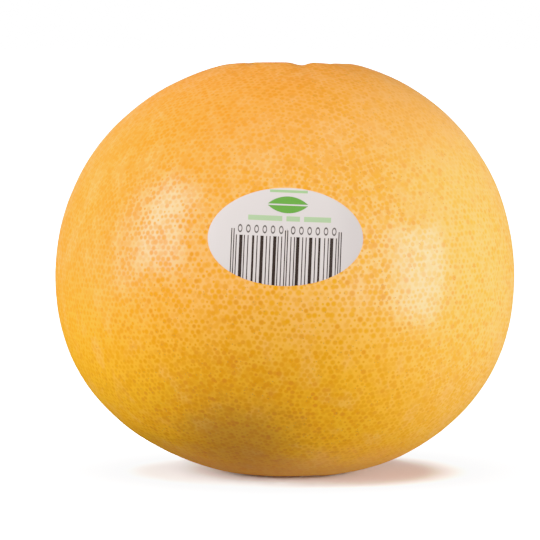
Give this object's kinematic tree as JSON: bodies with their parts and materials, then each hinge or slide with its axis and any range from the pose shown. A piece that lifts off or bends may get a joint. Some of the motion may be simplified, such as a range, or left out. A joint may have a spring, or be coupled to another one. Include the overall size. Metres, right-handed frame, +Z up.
{
  "type": "pomelo",
  "caption": "Whole pomelo with smooth, waxy, gland-dotted peel, a dry stem button in its stem cavity and an oval paper sticker.",
  "frame": {"origin": "on the surface the fruit stands on, under the middle of its width and depth", "axes": "+Z up, from the flat spot at the blossom end to the stem cavity; -Y is the front, the way the sticker faces; +X is to the right as seen from the front, and the fruit is widest along it"},
  "size_m": [0.1106, 0.1083, 0.0987],
  "materials": {
    "peel": "smooth waxy citrus peel, golden orange, with fine darker oil glands",
    "dry_calyx": "dry, dull, greenish brown",
    "paper": null
  },
  "bodies": {
    "root": {"fruit": "peel", "stem_button": "dry_calyx", "sticker": "paper"}
  },
  "joints": []
}
